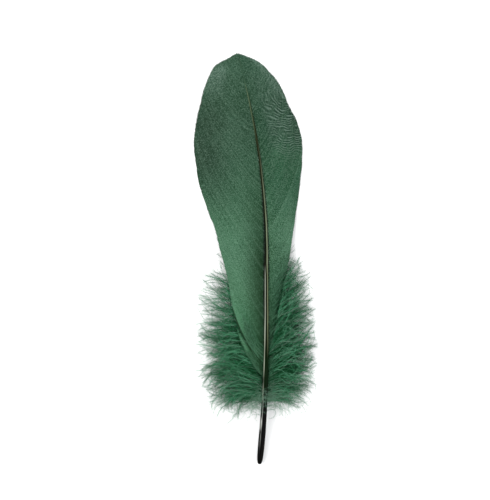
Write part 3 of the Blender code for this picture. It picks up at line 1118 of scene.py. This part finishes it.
def tuft_spec(side, layer, rng):
    count = layer["count"]
    u = ((np.arange(count) + rng.uniform(0, 1, count)) / count) ** layer["low"]  # 0 top, 1 base
    high = 70.0 if side < 0 else 73.0
    station = high - (high - 26.5) * u
    y = QUILL_END_Y + station
    r = shaft_radius(y)
    root = np.stack(
        [
            shaft_x(y) + side * 0.72 * r,
            y,
            shaft_z(y) - 0.35 * r + rng.normal(0, 0.08, count),
        ],
        -1,
    )
    # neighbours lean together in locks
    lock = wave_sum(station, [(0.10, 6.3, 1.0 + side), (0.08, 3.4, 2.0), (0.05, 11.0, 0.5)])
    if side < 0:
        middle = np.radians(44 + 52 * u**0.72)
        reach = 26.5 + 6.0 * np.sin(np.pi * np.clip(u * 0.85 + 0.15, 0, 1))
        reach = reach * (1 - 0.10 * smooth((u - 0.75) / 0.25))
        drop = 6 + 21 * u
    else:
        middle = np.radians(34 + 54 * u**1.6)
        reach = 22.5 + 4.5 * np.sin(np.pi * u)
        reach = reach * (1 - 0.30 * smooth((u - 0.75) / 0.25))
        drop = 10 + 14 * u * u
    wild = rng.normal(0, 1, (3, count)) * np.where(rng.random(count) < 0.18, 2.2, 1.0)
    wild = wild * (1 + 0.6 * smooth((u - 0.5) / 0.4))  # the lowest ones tangle
    deeper = 0.11 if side > 0 else 0.10 * smooth((u - 0.5) / 0.3)
    first = middle * 0.82 + 0.12 * wild[0]
    last = middle + np.radians(drop) + 0.26 * wild[1]
    middle = middle + layer["locks"] * lock + 0.13 * wild[2]
    return {
        "root": root,
        "a0": side * first,
        "a1": side * middle,
        "a2": side * last,
        "length": reach * layer["share"] * rng.uniform(0.62, 1.06, count),
        "z_end": rng.uniform(*layer["ends"], count),
        "lift": rng.uniform(-0.2, 0.9, count),
        "rnd": np.clip(
            rng.beta(1.2, 1.5, count) + layer["tone"] - deeper + wave_sum(station, [(0.16, 2.9, side), (0.12, 7.3, 2.0)]), 0, 1
        ),
        "curl": layer["curl"],
        "hook": layer["hook"],
        "phase": 2 * np.pi * (station / 6.1 + 0.6 * np.sin(station / 2.3)),
        "per_mm": layer["per_mm"],
        "silk": layer["silk"],
        "reach": layer["reach"],
        "fade": 0.30,
        "lean": 42,
        "spread": 15,
        "roll": 0.9,
        "bend": 0.45,
        "radius": layer["radius"],
        "thin": layer["thin"],
        "barbule": layer["barbule"],
        "bent": layer["bent"],
    }


def build_tuft(side, material):
    node = "down_left" if side < 0 else "down_right"
    for number, (label, layer) in enumerate(LAYERS):
        rng = np.random.default_rng(SEED + 10 * number + side + 3)
        parts = Parts()
        plumes(parts, tuft_spec(side, layer, rng), rng)
        piece(f"{node}_{label}", parts, material, node)


def build_stray(side, material):
    """Single bare-tipped hairs that stand out of a tuft, and the short fuzz over the quill."""
    node = "down_left" if side < 0 else "down_right"
    rng = np.random.default_rng(SEED + 70 + side)
    parts = Parts()
    count = 60
    u = rng.uniform(0, 1, count)
    station = 66.0 - (66.0 - 26.0) * u
    y = QUILL_END_Y + station
    r = shaft_radius(y)
    root = np.stack(
        [shaft_x(y) + side * 0.72 * r, y, shaft_z(y) - 0.2 * r], -1
    )
    if side < 0:
        middle, length = np.radians(46 + 54 * u), 30.0 - 4.0 * u
    else:
        middle, length = np.radians(38 + 52 * u**1.2), 24.0 - 2.0 * u
    spec = {
        "root": root,
        "a0": side * middle * 0.85,
        "a1": side * (middle + rng.normal(0, 0.22, count)),
        "a2": side * (middle + 0.35 + rng.normal(0, 0.5, count)),
        "length": length * rng.uniform(0.75, 1.08, count),
        "z_end": rng.uniform(0.5, 6.4, count),
        "lift": rng.uniform(0, 1.0, count),
        "rnd": np.clip(rng.beta(2.4, 2.0, count) + 0.2, 0, 1),
        "curl": 0.6,
        "hook": 1.2,
        "steps": 22,
        "per_mm": 3.2,
        "silk": 0.4,
        "reach": 1.8,
        "fade": 0.6,
        "bare": 0.3,
        "lean": 30,
        "spread": 14,
        "roll": 1.0,
        "bend": 0.5,
        "radius": 0.06,
        "barbule": 0.024,
        "bent": 0.3,
    }
    plumes(parts, spec, rng)
    # short fuzz low on the quill
    count = 66
    station = 20.0 + 10.5 * rng.beta(2.4, 1.2, count)
    y = QUILL_END_Y + station
    r = shaft_radius(y)
    over = rng.random(count) < 0.18  # these curl back over the quill
    root = np.stack(
        [shaft_x(y) + side * 0.85 * r, y, shaft_z(y) + 0.1 * r], -1
    )
    heading = np.where(over, -side, side) * np.radians(rng.normal(108, 36, count))
    spec = {
        "root": root,
        "a0": side * np.radians(rng.normal(70, 20, count)),
        "a1": heading,
        "a2": heading + rng.normal(0, 0.7, count),
        "length": rng.uniform(4.0, 16.0, count),
        "z_end": np.where(over, 6.0, 3.0) + rng.normal(0, 0.9, count),
        "lift": rng.uniform(0, 1.0, count),
        "rnd": np.clip(rng.beta(2.4, 2.0, count) + 0.40, 0, 1),
        "curl": 1.5,
        "hook": 2.6,
        "steps": 20,
        "per_mm": 3.2,
        "silk": 0.3,
        "reach": 1.3,
        "fade": 0.7,
        "lean": 36,
        "spread": 18,
        "roll": 1.0,
        "bend": 0.6,
        "radius": 0.045,
        "barbule": 0.021,
        "bent": 0.3,
    }
    plumes(parts, spec, rng, hold=over_vane)
    # thin curls that trail out of the tuft's lower edge
    count = 34
    station = rng.uniform(25.0, 35.0, count)
    y = QUILL_END_Y + station
    r = shaft_radius(y)
    root = np.stack(
        [shaft_x(y) + side * 0.80 * r, y, shaft_z(y) - 0.1 * r], -1
    )
    heading = side * np.radians(rng.normal(106, 13, count))
    spec = {
        "root": root,
        "a0": heading * 0.85,
        "a1": heading,
        "a2": heading + rng.normal(0, 0.8, count),
        "length": rng.uniform(11.0, 24.0, count),
        "z_end": rng.uniform(0.8, 4.5, count),
        "lift": rng.uniform(0, 1.0, count),
        "rnd": np.clip(rng.beta(2.4, 2.0, count) + 0.40, 0, 1),
        "curl": 1.4,
        "hook": 2.4,
        "steps": 26,
        "per_mm": 3.0,
        "silk": 0.3,
        "reach": 1.3,
        "fade": 0.7,
        "lean": 36,
        "spread": 18,
        "roll": 1.0,
        "bend": 0.6,
        "radius": 0.045,
        "barbule": 0.021,
        "bent": 0.3,
    }
    plumes(parts, spec, rng)
    piece(f"{node}_stray", parts, material, node)


def build_loose(side, material):
    """Unhooked barbs along the lowest part of a closed vane, lying on it."""
    node = "vane_left" if side < 0 else "vane_right"
    rng = np.random.default_rng(SEED + 90 + side)
    count = 30 if side < 0 else 74
    low, high = (36.5, 50.0) if side < 0 else (31.0, 84.0)
    station = np.sort(rng.uniform(low, high, count))
    u = (station - low) / (high - low)
    y = QUILL_END_Y + station
    r = shaft_radius(y)
    root = np.stack([shaft_x(y) + side * 0.8 * r, y, shaft_z(y) + 0.1 * r], -1)
    middle = np.radians((37 - 8 * u) if side < 0 else (36 - 4 * u))
    length = (15.0 + 6.0 * u) if side < 0 else (11.0 + 9.0 * u)
    spec = {
        "root": root,
        "a0": side * np.radians(50) * np.ones(count),
        "a1": side * (middle + rng.normal(0, 0.10, count)),
        "a2": side * (middle - 0.05 + rng.normal(0, 0.28, count)),
        "length": length * rng.uniform(0.6, 1.0, count),
        "z_end": rng.uniform(3.0, 5.0, count),
        "lift": rng.uniform(0, 0.3, count),
        "rnd": np.clip(rng.beta(2.4, 2.0, count), 0, 1),
        "curl": 0.40,
        "hook": 0.7,
        "steps": 18,
        "per_mm": 6.0,
        "silk": 0.3,
        "reach": 1.0,
        "fade": 0.5,
        "lean": 24,
        "spread": 8,
        "roll": 0.5,
        "bend": 0.3,
        "radius": 0.06,
        "barbule": 0.035,
        "bent": 0.2,
    }
    parts = Parts()
    plumes(parts, spec, rng, hold=over_vane)
    piece(f"{node}_loose", parts, material, node)


# ---- shaft -----------------------------------------------------------------------
def build_shaft(material):
    """Quill and rachis: round and smooth at the quill, with a pit in its end, then squarer with a groove along the top and another underneath."""
    s = np.concatenate(
        [
            [1.1, 0.7, 0.25, 0.05, 0.0, 0.08, 0.25, 0.6, 1.1, 1.8, 2.8],
            np.linspace(4.0, 173.8, 150),
            [174.3, 174.7],
        ]
    )
    r = shaft_radius_at(s)
    r[:5] = (0.05, 0.20, 0.27, 0.34, 0.46)
    r[5:9] = (0.58, 0.72, 0.90, 1.04)
    r[-2:] = (0.13, 0.05)
    y = QUILL_END_Y + s
    k = len(s)
    path = np.stack([shaft_x(y), y, shaft_z(y)], -1)
    wobble = wave_sum(s, [(0.03, 31.0, 0.4), (0.02, 13.0, 2.0)]) * smooth((s - 30) / 20)
    path[:, 0] += wobble * smooth((170 - s) / 20)
    straight = np.stack(
        [np.sin(shaft_tilt(y)), np.cos(shaft_tilt(y)), np.gradient(shaft_z(np.linspace(QUILL_END_Y, TIP_Y, 1001)), 0.175)[np.clip((s / 0.175).astype(int), 0, 1000)]],
        -1,
    )
    tangent = unit(straight)
    lateral = unit(np.cross(tangent, np.array([0.0, 0.0, 1.0])))
    normal = np.cross(lateral, tangent)
    top_u = np.array(
        [-1.0, -0.96, -0.88, -0.76, -0.62, -0.48, -0.34, -0.22, -0.12, -0.04, 0.04, 0.12, 0.20, 0.30, 0.42, 0.56, 0.70, 0.82, 0.92, 0.98]
    )
    bottom_u = np.array([1.0, 0.94, 0.80, 0.60, 0.38, 0.18, 0.0, -0.18, -0.38, -0.60, -0.80, -0.94])
    rachis = smooth((s - 24) / 14)[:, None]
    power = 2.0 + 0.7 * rachis
    top = (1 - np.abs(top_u[None]) ** power) ** (1 / power) * (1 - 0.05 * rachis)
    groove = smooth((s - 34) / 12) * (1 - 0.75 * smooth((s - 118) / 25))
    cut = np.exp(-(((top_u[None] - 0.05) / 0.16) ** 2)) * 0.34 * groove[:, None]
    top = top - cut
    bottom = -((1 - np.abs(bottom_u[None]) ** power) ** (1 / power)) * (1 + 0.12 * rachis)
    sulcus = smooth((s - 29) / 10) * (1 - smooth((s - 150) / 20))
    bottom = bottom + np.exp(-((bottom_u[None] / 0.2) ** 2)) * 0.3 * sulcus[:, None]
    # the small pit under the quill where the down starts
    pit = np.exp(-(((s - 28.5) / 1.3) ** 2))[:, None]
    bottom = bottom + np.exp(-((bottom_u[None] / 0.28) ** 2)) * 0.35 * pit
    u = np.concatenate([np.broadcast_to(top_u, top.shape), np.broadcast_to(bottom_u, bottom.shape)], 1)
    h = np.concatenate([top, bottom], 1)
    a, b = u * r[:, None], h * r[:, None]
    points, quads, caps = sweep(path[None], lateral[None], normal[None], a[None], b[None])
    cols = u.shape[1]
    is_top = np.concatenate([np.ones(len(top_u)), np.zeros(len(bottom_u))])
    is_top[[0, len(top_u)]] = 0.5
    place = np.stack(
        [
            u.ravel(),
            np.repeat(s / LENGTH, cols),
            np.tile(is_top, k),
        ],
        -1,
    )
    # map: round the shaft by length along it, folded into four columns
    girth = (np.arange(cols + 1)) / cols
    column, row = np.arange(len(quads)) % cols, np.arange(len(quads)) // cols
    fold = np.minimum((s[row] / (LENGTH / 4)).astype(int), 3)
    def at(col, r_):
        u_ = (fold + 0.04 + 0.92 * girth[col]) / 4
        v_ = 0.01 + 0.96 * (s[r_] - fold * LENGTH / 4) / (LENGTH / 4 * 1.04)
        return np.stack([u_, v_], -1)
    quad_uv = np.stack(
        [at(column, row), at(column + 1, row), at(column + 1, row + 1), at(column, row + 1)], 1
    )
    ring = np.stack(
        [0.02 + 0.01 * u[0], 0.985 + 0.008 * h[0]], -1
    )
    cap_uv = np.stack([ring, ring])
    parts = Parts()
    parts.add(points, [quads, caps], place, np.zeros_like(place), [quad_uv, cap_uv])
    return piece("shaft_keratin", parts, material, "shaft", sharp=75)


# ---- camera first, then the pieces -------------------------------------------------
CENTRE_PX = (245.0, 250.0)  # middle of the photograph's frame


def photo_mm(px, py):
    """Place on the surface of a point given in the photograph's pixels."""
    return (px - 255.5) * PX, (258.35 - py) * PX


view_x, view_y = photo_mm(*CENTRE_PX)
camera = bpy.data.objects.new("camera", bpy.data.cameras.new("camera"))
bpy.context.scene.collection.objects.link(camera)
DISTANCE, MID_Z = 1.1, 0.005
camera.location = (view_x * MM, view_y * MM, MID_Z + DISTANCE)
camera.rotation_euler = (0, 0, 0)
camera.data.sensor_fit = "AUTO"
camera.data.sensor_width = 36.0
camera.data.lens = 36.0 * DISTANCE / (500 * PX * MM)
camera.data.clip_start, camera.data.clip_end = 0.05, 20.0
camera.data.dof.use_dof = False
bpy.context.scene.camera = camera

build_vane(-1, vane_material("vane_left_dye_and_shade", -1))
build_vane(1, vane_material("vane_right_dye_and_shade", 1))
down_finish = down_material(
    "down_dyed",
    ((20, 78, 45), (46, 124, 78), (86, 172, 122), (140, 220, 176)),
    (14, 54, 30),
    (122, 200, 156),
)
stray_finish = down_material(
    "down_pale",
    ((62, 118, 86), (92, 150, 116), (124, 180, 146), (158, 206, 176)),
    (44, 96, 66),
    (172, 208, 186),
)
loose_finish = down_material(
    "loose_barbs",
    ((68, 116, 86), (82, 132, 100), (98, 150, 116), (120, 170, 138)),
    (52, 96, 66),
    (124, 172, 142),
)
for side in (-1, 1):
    build_tuft(side, down_finish)
    build_stray(side, stray_finish)
    build_loose(side, loose_finish)
build_shaft(shaft_material())

# ---- floor and light ----------------------------------------------------------------
floor_mesh = bpy.data.meshes.new("floor")
floor_mesh.from_pydata(
    [(-2, -2, 0), (2, -2, 0), (2, 2, 0), (-2, 2, 0)], [], [(0, 1, 2, 3)]
)
floor = bpy.data.objects.new("floor", floor_mesh)
bpy.context.scene.collection.objects.link(floor)
floor.location.z = -0.0001
paper = bpy.data.materials.new("white_paper")
paper.use_nodes = True
paper.node_tree.nodes["Principled BSDF"].inputs["Base Color"].default_value = (0.93, 0.93, 0.93, 1)
paper.node_tree.nodes["Principled BSDF"].inputs["Roughness"].default_value = 0.9
floor_mesh.materials.append(paper)


def area_light(name, place, target, size, watts, colour=(1, 1, 1)):
    data = bpy.data.lights.new(name, "AREA")
    data.shape, data.size = "DISK", size
    data.energy, data.color = watts, colour
    ob = bpy.data.objects.new(name, data)
    bpy.context.scene.collection.objects.link(ob)
    ob.location = place
    aim = np.array(target) - np.array(place)
    length = np.linalg.norm(aim)
    ob.rotation_euler = (
        math.acos(-aim[2] / length),
        0.0,
        math.atan2(-aim[0], aim[1]),
    )
    return ob


area_light("key", (-0.75, 0.50, 0.85), (0, 0, 0), 1.4, 8.2, (1.0, 0.99, 0.975))
area_light("fill", (0.85, -0.25, 0.9), (0, 0, 0), 1.3, 5.4, (0.98, 0.99, 1.0))
area_light("low_left", (-0.80, -0.32, 0.85), (0, -0.05, 0), 0.22, 3.6, (1.0, 1.0, 1.0))

world = bpy.data.worlds.new("studio")
bpy.context.scene.world = world
world.use_nodes = True
world.node_tree.nodes["Background"].inputs[0].default_value = (0.99, 0.995, 1.0, 1)
world.node_tree.nodes["Background"].inputs[1].default_value = 0.95
bpy.context.scene.view_settings.view_transform = "Standard"
bpy.context.scene.view_settings.look = "None"
